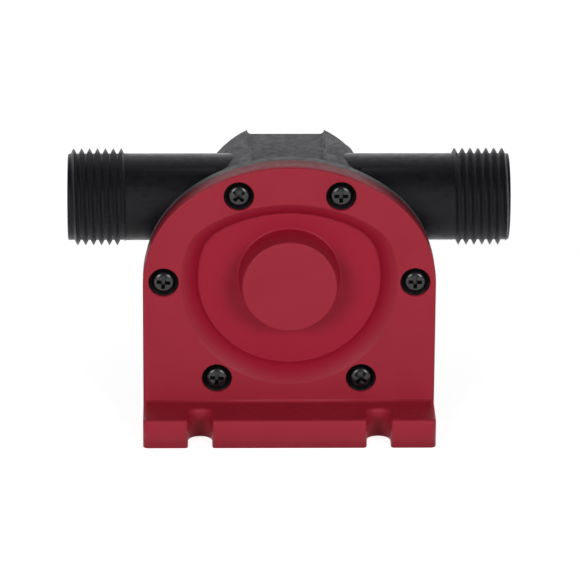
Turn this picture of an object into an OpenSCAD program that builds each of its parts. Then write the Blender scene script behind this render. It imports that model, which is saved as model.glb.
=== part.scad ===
// Drill powered pump: a flexible impeller pump turned by a hand drill.
// Z is up, Y runs back along the shaft towards the drill, X runs along the two hose ports.
// The origin is on the plane the foot stands on, below the shaft, in the plane of the cover's front face.

/* [Cover] */
// Height of the shaft axis above the foot's underside
axis_z = 43.8; // [38:0.1:50]
// Half width of the cover
cover_half = 40.55; // [36:0.05:46]
// Radius of the arched top
arch_r = 46.4; // [42:0.1:52]
// How far the arch centre lies below the shaft axis
arch_drop = 12.8; // [8:0.1:18]
// Radius of the shoulders between the arch and the straight sides
shoulder_r = 31; // [24:0.5:34]
// Thickness of the cover at its edge
cover_thick = 6.5; // [4:0.1:9]
// How far the foot reaches in front of the face
foot_reach = 13.7; // [9:0.1:18]
// Height of the foot
foot_high = 8.2; // [5:0.1:11]
// Distance of each foot slot from the middle
slot_x = 24.75; // [20:0.05:30]
// Half width of a foot slot
slot_r = 3.35; // [2.5:0.05:4]
// Length of a foot slot from the front edge to its round end
slot_deep = 8.7; // [6:0.1:11]
// Depth of the cam-shaped dish
dish_deep = 4.8; // [4:0.1:7]
// Radius of the dish at the face
dish_r = 30; // [27:0.1:32]
// Radius of the dish at its floor
dish_floor_r = 25.3; // [23:0.1:27]
// Radius of the flattened top of the dish at the face
dish_cam_r = 44.8; // [42:0.1:48]
// How far the cam arcs' centre lies below the shaft axis
cam_drop = 21.6; // [18:0.1:24]
// Radius of the round boss
boss_r = 13.1; // [11:0.1:15]
// How far the boss stands in front of the face
boss_high = 3.7; // [2:0.1:6]

/* [Chamber] */
// Radius of the pump chamber
chamber_r = 28; // [26:0.1:29]
// Radius of the cam at the top of the chamber
chamber_cam_r = 42.6; // [41:0.1:44]
// Where the chamber's back wall begins
chamber_back = 30; // [26:0.1:32]
// Thickness of the chamber wall
wall = 2.6; // [2:0.1:4]
// Length of the cover's pilot inside the chamber
pilot_long = 2.7; // [2:0.1:4]
// Thickness of the body's flange
flange_thick = 3.7; // [3:0.1:5]

/* [Ports] */
// Height of the port axis above the shaft axis
port_up = 17.35; // [14:0.05:20]
// Distance of the port axis behind the face
port_y = 22; // [18:0.1:26]
// Distance from the middle to the end of each port
port_half = 61.4; // [56:0.1:68]
// Radius of the plain pipe
pipe_r = 12.12; // [11:0.02:13]
// Radius over the hose thread
thread_r = 13.49; // [13:0.01:14]
// Radius at the bottom of the hose thread
thread_root_r = 12.05; // [11.5:0.05:12.5]
// Distance between two threads
thread_pitch = 2.209; // [1.8:0.001:2.6]
// Number of thread turns
thread_turns = 7; // [5:1:9]
// Radius of the water passage
port_bore_r = 8.5; // [7:0.1:9.5]
// Half the distance between the inner ends of the two passages
port_inner_x = 19.4; // [18.8:0.1:21]

/* [Screws] */
// Distance of the side screws from the middle
screw_side_x = 34.8; // [33:0.05:36]
// Distance of the upper screws from the middle
screw_up_x = 14.05; // [13:0.05:16]
// Height of the upper screws above the shaft axis
screw_up_z = 25.25; // [24:0.05:27]
// Distance of the lower screws from the middle
screw_low_x = 20.05; // [18:0.05:22]
// How far the lower screws lie below the shaft axis
screw_low_z = 28.5; // [27:0.05:30]
// Radius of the counterbores
counterbore_r = 4.18; // [3.8:0.02:4.5]
// Depth of the counterbores
counterbore_deep = 2.6; // [2:0.1:4]
// Radius of the screw heads
head_r = 2.99; // [2.7:0.01:3.4]
// Height of the screw heads
head_high = 2.3; // [1.8:0.1:2.6]
// Radius of the screw shanks
screw_r = 1.5; // [1.2:0.05:1.8]
// Length of the screws below their heads
screw_long = 20; // [14:0.5:24]

/* [Barrel] */
// Radius of the barrel
barrel_r = 25.1; // [23:0.1:27]
// Where the barrel ends
barrel_end = 64; // [56:0.5:70]
// Height of the channel floor above the shaft axis
channel_z = 21.35; // [19:0.05:23]
// Half width of the channel
channel_half = 11.03; // [9:0.05:13]
// Radius in the channel's corners
channel_fillet = 1.2; // [0.8:0.1:2]
// Number of ribs inside the barrel
rib_count = 6; // [4:1:8]
// Thickness of the ribs
rib_thick = 2.2; // [1.6:0.1:3]
// Radius of the bearing hub
hub_r = 14.2; // [13:0.1:16]

/* [Shaft] */
// Radius of the drive shaft
shaft_r = 4; // [3.5:0.05:4.5]
// Where the shaft begins, inside the cover's boss
shaft_start = -0.6; // [-1:0.1:1]
// Radius of the shank that the drill's chuck holds
shank_r = 3.5; // [3:0.05:4]
// Where the shank begins, behind the barrel
shank_start = 65.2; // [64.5:0.1:68]
// Where the shank ends, in the drill's chuck
shaft_end = 92; // [84:0.5:100]
// Length of the turned chamfer at the shaft's ends
shaft_chamfer = 0.8; // [0.4:0.1:1.2]

/* [Impeller] */
// Number of vanes
vane_count = 6; // [4:1:8]
// Radius of the impeller's rubber hub
vane_hub_r = 9.4; // [8:0.1:11]
// Radius of the stiff core inside the rubber
core_r = 6.8; // [6:0.1:8]
// Half thickness of a vane at its root
vane_root = 1.5; // [1:0.05:2]
// Half thickness of a vane near its tip
vane_tip = 0.8; // [0.6:0.05:1.2]
// Radius of the bead on a vane's tip
vane_bead_r = 1.5; // [1.2:0.05:2]
// Turn of the impeller in the resting pose, in degrees
vane_turn = 15; // [0:1:60]
// Sweep of the vane tips, in degrees
vane_sweep = 12; // [4:1:20]

/* [Bearings] */
// Outer radius of the ball bearings
bearing_r = 11; // [10:0.1:12]
// Width of the ball bearings
bearing_wide = 7; // [6:0.1:8]
// Where the first bearing begins
bearing_one = 41; // [40:0.1:44]
// Space between the two bearings
bearing_space = 4; // [2:0.1:6]
// Radius of the circle through the ball centres
ball_pitch_r = 7.5; // [7:0.05:8]
// Radius of the balls
ball_r = 1.98; // [1.8:0.01:2.1]
// Number of balls in each bearing
ball_count = 7; // [6:1:8]

/* [Clearances] */
// Gap beside a turning part that is not guided
turning_gap = 0.2; // [0.1:0.05:0.4]
// Gap on the radius of a running fit
running_gap = 0.03; // [0.02:0.01:0.06]
// Gap between a screw and its hole in the cover
screw_gap = 0.4; // [0.2:0.05:0.6]
// Gap on the radius of a screw in its moulded hole
thread_gap = 0.03; // [0.02:0.01:0.05]
// Gap between the cover's pilot and the chamber
pilot_gap = 0.15; // [0.1:0.05:0.3]

/* [Hidden] */
$fn = 96;

// Colours
red = [0.63, 0.2, 0.27];
black = [0.12, 0.125, 0.14];
rubber = [0.06, 0.06, 0.065];
steel = [0.62, 0.63, 0.65];
bronze = [0.66, 0.5, 0.3];
nylon = [0.85, 0.84, 0.8];
dark_steel = [0.2, 0.21, 0.22];

// Derived values
right_angle = 90;
full_turn = 360;
half_turn = 180;
// how far a cutting solid runs past the face it opens
over = 1;
// how far two outline pieces overlap past the point where they touch smoothly
blend = 0.8;
dish_slope = (dish_r - dish_floor_r) / dish_deep;
shoulder_x = cover_half - shoulder_r;
shoulder_rise = sqrt(pow(arch_r - shoulder_r, 2) - pow(shoulder_x, 2));
shoulder_z = shoulder_rise - arch_drop;
flange_back = cover_thick + flange_thick;
flange_inset = 0.3;
pilot_end = cover_thick + pilot_long;
screw_places = [[screw_side_x, 0], [-screw_side_x, 0], [screw_up_x, screw_up_z],
    [-screw_up_x, screw_up_z], [screw_low_x, -screw_low_z], [-screw_low_x, -screw_low_z]];
// how far each screw's cross is turned, in degrees
screw_turns = [2, 6, 0, 48, 38, 5];

// seal cord in the flange
cord_in = 1.5;
cord_wide = 2;
cord_deep = 1.5;

// boss and bush
boss_wall = 2.5;
bush_r = 6;
bush_start = 0.8;
bush_end = 8.8;
bush_tower_r = 8.2;
boss_draft = 0.095;
boss_root_r = boss_r + boss_draft * (boss_high + pilot_end);
boss_core_r = boss_r - boss_wall;
boss_core_start = boss_wall - boss_high;
shaft_relief_start = -1.1;

// body details
shoulder_inset = 2;
shoulder_block_back = 21.6;
shoulder_block_in = 10.5;
shoulder_block_out = 24;
shoulder_block_low = 14;
tower_r = 3.4;
lobe_r = 4.65;
lobe_front = 28.2;
lobe_back = 31.6;
post_r = 4.5;
post_back = 24.5;
back_wall_end = 33;
shell_thick = 2.6;
channel_wall = 2.6;
barrel_start = 27.5;
core_start = back_wall_end;
bearing_two = bearing_one + bearing_wide + bearing_space;
hub_lip = 2.2;
hub_end = bearing_two + bearing_wide + hub_lip;
skirt_half = 33;
skirt_back = 38;
skirt_high = 4.5;
skirt_leg_x = 15;
skirt_leg_half = 1.6;
skirt_foot_wide = 9;
weep_r = 1.6;
weep_y = 38.9;
thread_land_share = 0.12;
thread_root_share = 0.04;
screw_hole_end = 24;

// seals and bearings
seal_start = 31.6;
seal_end = 37.6;
seal_r = 8;
seal_pocket_start = 31.4;
spring_r = 0.5;
spring_ring_r = shaft_r + 1.6;
spring_in = 1;
slinger_start = 38.2;
slinger_end = 40.2;
slinger_r = 8.6;
slinger_cavity_r = 9.6;
slinger_cavity_start = seal_end;
wall_bore_r = 5;
spacer_in_r = 9;
race_out_r = 9.1;
race_in_r = 5.9;
groove_gap = 0.04;
shield_thick = 0.4;
shield_set = 0.3;
cage_half = 0.5;
cage_wide = 5.2;
cage_gap = 0.12;
retainer_start = bearing_two + bearing_wide;
retainer_thick = 1;
retainer_groove_r = 11.6;
retainer_in_r = 9.7;
retainer_open_half = 2.4;
clip_thick = 0.8;
clip_groove_r = 3.3;
clip_out_r = 6.2;
clip_open_half = 1.9;
clip_front_y = bearing_one - clip_thick;
clip_rear_y = bearing_two + bearing_wide;
pin_r = 1.25;
pin_half = 6;
pin_y = 13;
pin_slot_half = 1.3;
core_start_y = pilot_end + turning_gap;
core_end_y = chamber_back - turning_gap;
cross_wide = 1.05;
cross_long = 3.5;
cross_deep = 1.5;
head_dome_r = 4.3;
vane_steps = 14;
vane_root_r = vane_hub_r - 1;
tip_gap = 0.15;

// A shape drawn in X and Z about the shaft axis, run back from y0 to y1
module slab(y0, y1) {
    translate([0, y1, axis_z])
        rotate([right_angle, 0, 0])
            linear_extrude(height = y1 - y0)
                children();
}

// A round bar about an axis along Y
module bar_y(x, z, y0, y1, r) {
    translate([x, y0, axis_z + z])
        rotate([-right_angle, 0, 0])
            cylinder(h = y1 - y0, r = r);
}

// A cone about an axis along Y
module cone_y(x, z, y0, y1, r0, r1) {
    translate([x, y0, axis_z + z])
        rotate([-right_angle, 0, 0])
            rotate(right_angle)
                cylinder(h = y1 - y0, r1 = r0, r2 = r1);
}

// A ring about the shaft axis
module ring_y(y0, y1, r_in, r_out) {
    difference() {
        bar_y(0, 0, y0, y1, r_out);
        bar_y(0, 0, y0 - over, y1 + over, r_in);
    }
}

// A round bar along X at the port axis
module bar_x(x0, x1, r) {
    translate([x0, port_y, axis_z + port_up])
        rotate([0, right_angle, 0])
            cylinder(h = x1 - x0, r = r);
}

// A turned shape about the shaft axis, its profile drawn as radius and Y
module turned_y() {
    translate([0, 0, axis_z])
        rotate([-right_angle, 0, 0])
            rotate_extrude()
                children();
}

// The cover's outline, drawn smaller by inset: an arch on two round shoulders and a straight skirt
module outline(inset) {
    arch_half = shoulder_x * arch_r / (arch_r - shoulder_r) - blend;
    intersection() {
        translate([0, -arch_drop])
            circle(r = arch_r - inset);
        translate([-arch_half, -axis_z])
            square([2 * arch_half, axis_z + arch_r]);
    }
    for (side = [-1, 1])
        translate([side * shoulder_x, shoulder_z])
            circle(r = shoulder_r - inset);
    translate([-cover_half + inset, -axis_z])
        square([2 * (cover_half - inset), axis_z + shoulder_z - blend]);
}

// The cam-shaped outline shared by the chamber and the dish
module cam(r, cam_r) {
    intersection() {
        circle(r = r);
        translate([0, -cam_drop])
            circle(r = cam_r);
    }
}

// Height above the shaft axis where the dish's two cones meet, at the given depth
function meet_z(y) = let (a = dish_r - dish_slope * y, b = a + dish_cam_r - dish_r)
    (b * b - a * a - cam_drop * cam_drop) / (2 * cam_drop);

// Part of the dish below or above the flat plane in which its two cones meet
module dish_part(side) {
    y0 = -over;
    y1 = dish_deep + over;
    far = 2 * dish_r;
    translate([-far, 0, axis_z])
        rotate([right_angle, 0, right_angle])
            linear_extrude(height = 2 * far)
                polygon([[y0, meet_z(y0)], [y1, meet_z(y1)], [y1, side * far], [y0, side * far]]);
}

// The sloped dish in the cover's face
module dish() {
    intersection() {
        cone_y(0, 0, -over, dish_deep, dish_r + over * dish_slope, dish_floor_r);
        dish_part(-1);
    }
    intersection() {
        cone_y(0, -cam_drop, -over, dish_deep, dish_cam_r + over * dish_slope,
            dish_cam_r - dish_deep * dish_slope);
        dish_part(1);
    }
}

// Front cover with its foot, boss, dish and pilot, one moulding
module front_cover() {
    color(red)
        difference() {
            union() {
                difference() {
                    union() {
                        slab(0, cover_thick)
                            outline(0);
                        slab(cover_thick - wall, pilot_end)
                            cam(chamber_r - pilot_gap, chamber_cam_r - pilot_gap);
                        translate([-cover_half, -foot_reach, 0])
                            cube([2 * cover_half, foot_reach + cover_thick, foot_high]);
                    }
                    dish();
                }
                cone_y(0, 0, -boss_high, pilot_end, boss_r, boss_root_r);
            }
            for (side = [-1, 1])
                translate([side * slot_x, -foot_reach, -over]) {
                    translate([-slot_r, -over, 0])
                        cube([2 * slot_r, slot_deep - slot_r + over, foot_high + 2 * over]);
                    translate([0, slot_deep - slot_r, 0])
                        cylinder(h = foot_high + 2 * over, r = slot_r);
                }
            for (p = screw_places) {
                bar_y(p[0], p[1], -over, counterbore_deep, counterbore_r);
                bar_y(p[0], p[1], 0, cover_thick + over, screw_r + screw_gap);
            }
            bar_y(0, 0, bush_start, pilot_end + over, bush_r);
            bar_y(0, 0, shaft_relief_start, bush_start + over, shaft_r + turning_gap);
            difference() {
                bar_y(0, 0, boss_core_start, pilot_end + over, boss_core_r);
                bar_y(0, 0, boss_core_start - over, pilot_end + 2 * over, bush_tower_r);
            }
        }
}

// One hose port, on the side given by -1 or 1
module port(side) {
    thread_start = port_half - thread_turns * thread_pitch;
    mirror([side < 0 ? 1 : 0, 0, 0]) {
        bar_x(port_inner_x - over, thread_start, pipe_r);
        translate([thread_start, port_y, axis_z + port_up])
            rotate([0, right_angle, 0]) {
                cylinder(h = thread_turns * thread_pitch, r = thread_root_r);
                rotate_extrude()
                    for (i = [0:thread_turns - 1])
                        translate([0, i * thread_pitch])
                            polygon([[thread_root_r - wall, thread_pitch * thread_root_share],
                                [thread_root_r, thread_pitch * thread_root_share],
                                [thread_r, thread_pitch * (1 - thread_land_share) / 2],
                                [thread_r, thread_pitch * (1 + thread_land_share) / 2],
                                [thread_root_r, thread_pitch * (1 - thread_root_share)],
                                [thread_root_r - wall, thread_pitch * (1 - thread_root_share)]]);
            }
    }
}

// The space inside the barrel, between its shell and the bearing hub
module barrel_space() {
    difference() {
        intersection() {
            circle(r = barrel_r - shell_thick);
            translate([-barrel_r, -barrel_r])
                square([2 * barrel_r, barrel_r + channel_z - channel_wall]);
        }
        circle(r = hub_r);
        for (i = [0:rib_count - 1])
            rotate(i * full_turn / rib_count + half_turn / rib_count)
                translate([0, -rib_thick / 2])
                    square([barrel_r, rib_thick]);
    }
}

// The channel along the top of the barrel
module channel_shape() {
    corner_x = channel_half - channel_fillet;
    translate([-corner_x, channel_z])
        square([2 * corner_x, barrel_r - channel_z + over]);
    translate([-channel_half, channel_z + channel_fillet])
        square([2 * channel_half, barrel_r - channel_z + over]);
    for (side = [-1, 1])
        translate([side * corner_x, channel_z + channel_fillet])
            circle(r = channel_fillet);
}

// Pump body: flange, chamber, ports, screw posts, barrel and bearing hub, one moulding
module pump_body() {
    color(black)
        difference() {
            union() {
                slab(cover_thick, flange_back)
                    outline(flange_inset);
                slab(flange_back, back_wall_end)
                    cam(chamber_r + wall, chamber_cam_r + wall);
                for (side = [-1, 1]) {
                    intersection() {
                        slab(flange_back, shoulder_block_back)
                            outline(shoulder_inset);
                        translate([side * (shoulder_block_in + shoulder_block_out) / 2, 0, axis_z])
                            translate([-(shoulder_block_out - shoulder_block_in) / 2, 0, shoulder_block_low])
                                cube([shoulder_block_out - shoulder_block_in, barrel_end, arch_r]);
                    }
                    port(side);
                    bar_y(side * screw_up_x, screw_up_z, flange_back, lobe_front + over, tower_r);
                    bar_y(side * screw_up_x, screw_up_z, lobe_front, lobe_back, lobe_r);
                    bar_y(side * screw_side_x, 0, flange_back, post_back, post_r);
                    bar_y(side * screw_low_x, -screw_low_z, flange_back, post_back, post_r);
                    // standing leg and foot strip behind the flange
                    translate([side * skirt_leg_x - skirt_leg_half, flange_back - over, 0])
                        cube([2 * skirt_leg_half, skirt_back - flange_back + over, axis_z - barrel_r / 2]);
                    translate([side * (skirt_half - skirt_foot_wide) - skirt_foot_wide, flange_back - over, 0])
                        cube([2 * skirt_foot_wide, skirt_back - flange_back + over, skirt_high]);
                }
                bar_y(0, 0, barrel_start, barrel_end, barrel_r);
            }
            // chamber
            slab(cover_thick - over, chamber_back)
                cam(chamber_r, chamber_cam_r);
            // groove for the seal cord
            slab(cover_thick - over, cover_thick + cord_deep)
                difference() {
                    cam(chamber_r + cord_in + cord_wide, chamber_cam_r + cord_in + cord_wide);
                    cam(chamber_r + cord_in, chamber_cam_r + cord_in);
                }
            // water passages
            bar_x(port_inner_x, port_half + over, port_bore_r);
            bar_x(-port_half - over, -port_inner_x, port_bore_r);
            for (p = screw_places)
                bar_y(p[0], p[1], cover_thick - over, screw_hole_end, screw_r + thread_gap);
            // seal, slinger and bearing seats
            bar_y(0, 0, chamber_back - over, seal_pocket_start + over, wall_bore_r);
            bar_y(0, 0, seal_pocket_start, seal_end, seal_r);
            bar_y(0, 0, seal_end, bearing_one, slinger_cavity_r);
            bar_y(0, 0, bearing_one, hub_end + over, bearing_r);
            bar_y(0, 0, retainer_start, retainer_start + retainer_thick, retainer_groove_r);
            // weep hole under the slinger
            translate([0, weep_y, axis_z - barrel_r - over])
                cylinder(h = barrel_r, r = weep_r);
            slab(core_start, barrel_end + over)
                barrel_space();
            slab(lobe_back, barrel_end + over)
                channel_shape();
            bar_y(0, 0, hub_end, barrel_end + over, hub_r);
        }
}

// Seal cord between the cover and the body
module cover_seal() {
    color(rubber)
        slab(cover_thick, cover_thick + cord_deep)
            difference() {
                cam(chamber_r + cord_in + cord_wide, chamber_cam_r + cord_in + cord_wide);
                cam(chamber_r + cord_in, chamber_cam_r + cord_in);
            }
}

// One pan head screw with a cross recess
module screw(turn) {
    difference() {
        union() {
            intersection() {
                bar_y(0, 0, counterbore_deep - head_high, counterbore_deep, head_r);
                translate([0, counterbore_deep - head_high + head_dome_r, axis_z])
                    sphere(r = head_dome_r);
            }
            bar_y(0, 0, counterbore_deep - head_high / 2, counterbore_deep + screw_long, screw_r);
        }
        translate([0, counterbore_deep - head_high - over, axis_z])
            rotate([0, turn, 0])
                for (q = [0, right_angle])
                    rotate([0, q, 0])
                        translate([-cross_long / 2, 0, -cross_wide / 2])
                            cube([cross_long, cross_deep + over, cross_wide]);
    }
}

// Six cover screws
module cover_screws() {
    color(dark_steel)
        for (i = [0:len(screw_places) - 1])
            translate([screw_places[i][0], 0, screw_places[i][1]])
                screw(screw_turns[i]);
}

// Plain bush in the cover's boss
module front_bush() {
    color(bronze)
        ring_y(bush_start, bush_end, shaft_r + running_gap, bush_r);
}

// Drive shaft from the boss to the drill's chuck
module drive_shaft() {
    color(steel)
        difference() {
            union() {
                bar_y(0, 0, shaft_start + shaft_chamfer, shank_start, shaft_r);
                bar_y(0, 0, shank_start - over, shaft_end - shaft_chamfer, shank_r);
                cone_y(0, 0, shaft_start, shaft_start + shaft_chamfer, shaft_r - shaft_chamfer, shaft_r);
                cone_y(0, 0, shaft_end - shaft_chamfer, shaft_end, shank_r, shank_r - shaft_chamfer);
            }
            for (y0 = [clip_front_y, clip_rear_y])
                ring_y(y0, y0 + clip_thick, clip_groove_r, shaft_r + over);
            translate([-pin_half, pin_y, axis_z])
                rotate([0, right_angle, 0])
                    cylinder(h = 2 * pin_half, r = pin_r);
        }
}

// Distance from the shaft axis to the chamber wall in the direction given
function wall_at(a) = min(chamber_r,
    sqrt(pow(chamber_cam_r, 2) - pow(cam_drop * cos(a), 2)) - cam_drop * sin(a));

// Middle line of a vane: a curve from the hub to just inside the wall
function tip_r(a) = wall_at(a) - tip_gap - vane_bead_r;
function squeeze(a) = (chamber_r - wall_at(a)) / chamber_r;
function sweep_of(a) = vane_sweep * (1 + vane_count * squeeze(a));
function tip_angle(a) = a - sweep_of(a);
function root_point(a) = vane_root_r * [cos(a), sin(a)];
function tip_point(a) = let (t = tip_angle(a), r = min(tip_r(t), tip_r(t - vane_bead_r),
    tip_r(t + vane_bead_r))) r * [cos(t), sin(t)];
function mid_point(a) = let (r = (vane_root_r + norm(tip_point(a))) / 2) r * [cos(a), sin(a)];
function curve(a, t) = pow(1 - t, 2) * root_point(a) + 2 * t * (1 - t) * mid_point(a)
    + pow(t, 2) * tip_point(a);
function heading(a, t) = let (d = 2 * (1 - t) * (mid_point(a) - root_point(a))
    + 2 * t * (tip_point(a) - mid_point(a))) d / norm(d);
function edge(a, t, side) = let (h = heading(a, t), w = vane_root + (vane_tip - vane_root) * t)
    curve(a, t) + side * w * [-h[1], h[0]];

// Flexible impeller, its vanes bent by the cam as they are at rest
module impeller() {
    color(rubber)
        difference() {
            union() {
                bar_y(0, 0, core_start_y, core_end_y, vane_hub_r);
                for (i = [0:vane_count - 1]) {
                    a = vane_turn + i * full_turn / vane_count;
                    tip = tip_point(a);
                    slab(core_start_y, core_end_y)
                        polygon(concat([for (k = [0:vane_steps]) edge(a, k / vane_steps, 1)],
                            [for (k = [vane_steps:-1:0]) edge(a, k / vane_steps, -1)]));
                    bar_y(tip[0], tip[1], core_start_y, core_end_y, vane_bead_r);
                }
            }
            bar_y(0, 0, core_start_y - over, core_end_y + over, core_r);
        }
}

// Stiff core inside the impeller, slotted for the drive pin
module impeller_core() {
    color(nylon)
        difference() {
            ring_y(core_start_y, core_end_y, shaft_r, core_r);
            translate([-core_r - over, core_start_y - over, axis_z - pin_slot_half])
                cube([2 * (core_r + over), pin_y + pin_slot_half - core_start_y + over, 2 * pin_slot_half]);
        }
}

// Cross pin through the shaft
module drive_pin() {
    color(steel)
        translate([-pin_half, pin_y, axis_z])
            rotate([0, right_angle, 0])
                cylinder(h = 2 * pin_half, r = pin_r);
}

// Metal case of the lip seal
module seal_case() {
    color(dark_steel)
        turned_y()
            polygon([[seal_r, seal_start], [seal_r, seal_end], [seal_r - wall / 2, seal_end],
                [seal_r - wall / 2, seal_end - wall / 3], [seal_r - wall / 3, seal_end - wall / 3],
                [seal_r - wall / 3, seal_start]]);
}

// Rubber lip of the shaft seal
module seal_lip() {
    lip_r = shaft_r + running_gap;
    color(rubber)
        turned_y()
            difference() {
                polygon([[seal_r - wall / 3, seal_start], [seal_r - wall / 3, seal_end - wall / 3],
                    [seal_r - wall / 2, seal_end - wall / 3], [seal_r - wall / 2, seal_end - wall / 6],
                    [lip_r + wall / 3, seal_end - wall / 6], [lip_r + wall / 3, seal_end - wall / 2],
                    [lip_r + wall / 2, seal_end - wall * 2 / 3], [lip_r, seal_start + wall * 2 / 3],
                    [lip_r, seal_start + wall / 2], [lip_r + wall / 5, seal_start]]);
                translate([spring_ring_r, seal_start + spring_in])
                    circle(r = spring_r);
            }
}

// Garter spring behind the lip
module seal_spring() {
    color(steel)
        turned_y()
            translate([spring_ring_r, seal_start + spring_in])
                circle(r = spring_r);
}

// Rubber slinger that throws leaked water to the weep hole
module water_slinger() {
    color(rubber)
        turned_y()
            polygon([[shaft_r, slinger_start], [slinger_r, slinger_start],
                [slinger_r, slinger_start + clip_thick], [clip_out_r, slinger_end - clip_thick / 2],
                [clip_out_r - over, clip_front_y], [shaft_r, clip_front_y]]);
}

// Profile of one bearing's outer ring
module outer_ring(y0) {
    turned_y()
        difference() {
            translate([race_out_r, y0])
                square([bearing_r - race_out_r, bearing_wide]);
            translate([ball_pitch_r, y0 + bearing_wide / 2])
                circle(r = ball_r + groove_gap);
        }
}

// Outer rings of the two ball bearings
module bearing_outer_rings() {
    color(steel)
        for (y0 = [bearing_one, bearing_two])
            outer_ring(y0);
}

// Inner rings of the two ball bearings
module bearing_inner_rings() {
    color(steel)
        for (y0 = [bearing_one, bearing_two])
            turned_y()
                difference() {
                    translate([shaft_r, y0])
                        square([race_in_r - shaft_r, bearing_wide]);
                    translate([ball_pitch_r, y0 + bearing_wide / 2])
                        circle(r = ball_r + groove_gap);
                }
}

// Balls of the two bearings
module bearing_balls() {
    color(steel)
        for (y0 = [bearing_one, bearing_two])
            for (i = [0:ball_count - 1])
                translate([0, y0 + bearing_wide / 2, axis_z])
                    rotate([0, i * full_turn / ball_count, 0])
                        translate([ball_pitch_r, 0, 0])
                            sphere(r = ball_r);
}

// Cages that space the balls
module bearing_cages() {
    color(nylon)
        for (y0 = [bearing_one, bearing_two])
            difference() {
                ring_y(y0 + (bearing_wide - cage_wide) / 2, y0 + (bearing_wide + cage_wide) / 2,
                    ball_pitch_r - cage_half, ball_pitch_r + cage_half);
                translate([0, y0 + bearing_wide / 2, axis_z])
                    for (i = [0:ball_count - 1])
                        rotate([0, i * full_turn / ball_count + right_angle, 0])
                            translate([0, 0, ball_pitch_r - ball_r])
                                cylinder(h = 2 * ball_r, r = ball_r + cage_gap);
            }
}

// Shields pressed into the outer rings
module bearing_shields() {
    color(rubber)
        for (y0 = [bearing_one, bearing_two])
            for (y1 = [y0 + shield_set, y0 + bearing_wide - shield_set - shield_thick])
                ring_y(y1, y1 + shield_thick, race_in_r + turning_gap, race_out_r);
}

// Spacer between the two outer rings
module bearing_spacer() {
    color(steel)
        ring_y(bearing_one + bearing_wide, bearing_two, spacer_in_r, bearing_r);
}

// Snap ring that holds the bearings in the hub
module bearing_retainer() {
    color(dark_steel)
        difference() {
            ring_y(retainer_start, retainer_start + retainer_thick, retainer_in_r, retainer_groove_r);
            translate([-retainer_open_half, retainer_start - over, axis_z - bearing_r - over])
                cube([2 * retainer_open_half, retainer_thick + 2 * over, bearing_r]);
        }
}

// Clips in the shaft's grooves on both sides of the bearings
module shaft_clips() {
    color(dark_steel)
        for (y0 = [clip_front_y, clip_rear_y])
            difference() {
                ring_y(y0, y0 + clip_thick, clip_groove_r, clip_out_r);
                translate([-clip_open_half, y0 - over, axis_z])
                    cube([2 * clip_open_half, clip_thick + 2 * over, clip_out_r + over]);
            }
}

front_cover();
pump_body();
cover_seal();
cover_screws();
front_bush();
drive_shaft();
impeller();
impeller_core();
drive_pin();
seal_case();
seal_lip();
seal_spring();
water_slinger();
bearing_outer_rings();
bearing_inner_rings();
bearing_balls();
bearing_cages();
bearing_shields();
bearing_spacer();
bearing_retainer();
shaft_clips();
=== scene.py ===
# %% [markdown]
# # Dressing a drill powered pump
# The solids of the pump come from its CAD model: a crimson front cover, a black moulded
# body with two hose ports, and the turning parts inside. This lesson gives them the
# rounded edges, real hose threads and moulded finishes of the real object.
# Sizes are in millimetres in the text and in the helpers, and in metres in Blender.

from math import atan2, cos, degrees, hypot, pi, radians, sin, sqrt, tau

import bmesh
import bpy
from mathutils import Matrix, Vector
from mathutils.geometry import delaunay_2d_cdt


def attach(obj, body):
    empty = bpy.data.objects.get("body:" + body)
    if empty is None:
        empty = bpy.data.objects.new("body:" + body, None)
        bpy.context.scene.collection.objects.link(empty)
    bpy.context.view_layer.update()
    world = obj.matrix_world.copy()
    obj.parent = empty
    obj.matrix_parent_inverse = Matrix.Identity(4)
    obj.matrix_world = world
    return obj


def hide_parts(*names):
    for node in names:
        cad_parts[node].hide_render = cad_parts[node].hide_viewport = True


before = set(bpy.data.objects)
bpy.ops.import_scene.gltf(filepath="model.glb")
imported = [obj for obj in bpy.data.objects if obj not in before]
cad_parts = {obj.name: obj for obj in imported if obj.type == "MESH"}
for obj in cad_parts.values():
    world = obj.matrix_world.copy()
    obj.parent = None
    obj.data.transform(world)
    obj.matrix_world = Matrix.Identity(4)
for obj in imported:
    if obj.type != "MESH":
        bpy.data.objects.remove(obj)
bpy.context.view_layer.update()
MM = 0.001


# %% [markdown]
# ## The camera
# The photograph was taken with a long lens from a little above the pump. A camera model
# fitted to points of known size gives the angles, the distance and the frame.
# The camera looks at the shaft axis in the plane of the cover's face.

# %% The camera
AXIS_Z = 43.8
CAMERA_AZIMUTH = radians(-1.32)
CAMERA_ELEVATION = radians(21)
CAMERA_ROLL = radians(0.38)
CAMERA_DISTANCE = 1300
PIXELS_PER_MM = 3.62
PICTURE_WIDTH = 580
TARGET_PIXEL = (289.54, 282.65)
SENSOR_WIDTH, FARTHEST = 36, 20


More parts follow.
